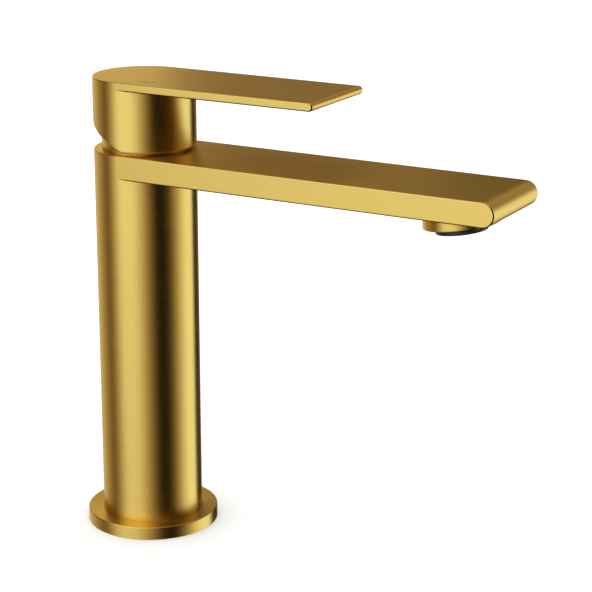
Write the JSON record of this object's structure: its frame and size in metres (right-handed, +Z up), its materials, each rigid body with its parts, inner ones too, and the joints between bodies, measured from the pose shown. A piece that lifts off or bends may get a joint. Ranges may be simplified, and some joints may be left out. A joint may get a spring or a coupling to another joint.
{
  "type": "basin mixer faucet",
  "caption": "Single-lever basin mixer with a round column on a flange, a long flat spout with an aerator and a flat lever over a ceramic cartridge.",
  "frame": {"origin": "centre of the foot, on the plane where the mixer seats on the deck", "axes": "+Z up along the column, the spout and the lever reach towards -Y, +X is on the right of a person who faces the mixer's front"},
  "size_m": [0.0524, 0.1825, 0.1828],
  "materials": {
    "brushed_gold": "brushed gold PVD on brass",
    "raw_brass": "machined",
    "black_plastic": "black POM",
    "cartridge_plastic": "moulded",
    "rubber": "EPDM",
    "alumina": "lapped",
    "stainless": "turned",
    "cold_enamel": "enamel",
    "hot_enamel": "enamel"
  },
  "bodies": {
    "root": {"column": "brushed_gold", "base_flange": "brushed_gold", "base_seal": "rubber", "foot_plate": "raw_brass", "spout": "brushed_gold", "outlet_boss": "brushed_gold", "aerator_housing": "black_plastic", "aerator_seal": "rubber", "honeycomb": "black_plastic", "flow_regulator": "cartridge_plastic", "filter_screen": "stainless", "valve_body": "raw_brass", "lower_body_ring": "rubber", "upper_body_ring": "rubber", "neck_collar": "brushed_gold", "retaining_nut": "raw_brass", "cartridge_base": "cartridge_plastic", "inlet_seals": "rubber", "cartridge_casing": "cartridge_plastic", "casing_ring": "rubber", "fixed_disc": "alumina"},
    "mixing_rotor": {"rotor": "cartridge_plastic", "rotor_ring": "rubber", "pivot_pin": "stainless"},
    "lever": {"stem": "stainless", "lever_handle": "brushed_gold", "grub_screw": "stainless", "screw_plug": "brushed_gold", "cold_mark": "cold_enamel", "hot_mark": "hot_enamel"},
    "disc_slider": {"moving_disc": "alumina", "disc_carrier": "cartridge_plastic"}
  },
  "joints": [
    {"name": "temperature_turn", "type": "hinge", "parent": "root", "child": "mixing_rotor", "pos_m": [0, 0, 0.1559], "axis": [0, 0, 1], "range_deg": [-50, 50]},
    {"name": "lever_lift", "type": "hinge", "parent": "mixing_rotor", "child": "lever", "pos_m": [0, 0, 0.1559], "axis": [-1, 0, 0], "range_deg": [0, 25]},
    {"name": "disc_slide", "type": "slide", "parent": "mixing_rotor", "child": "disc_slider", "axis": [0, -1, 0], "range_m": [0, 0.0036]}
  ],
  "couplings": [
    {"joint": "disc_slide", "follows": "lever_lift", "m_per_rad": 0.007749}
  ]
}
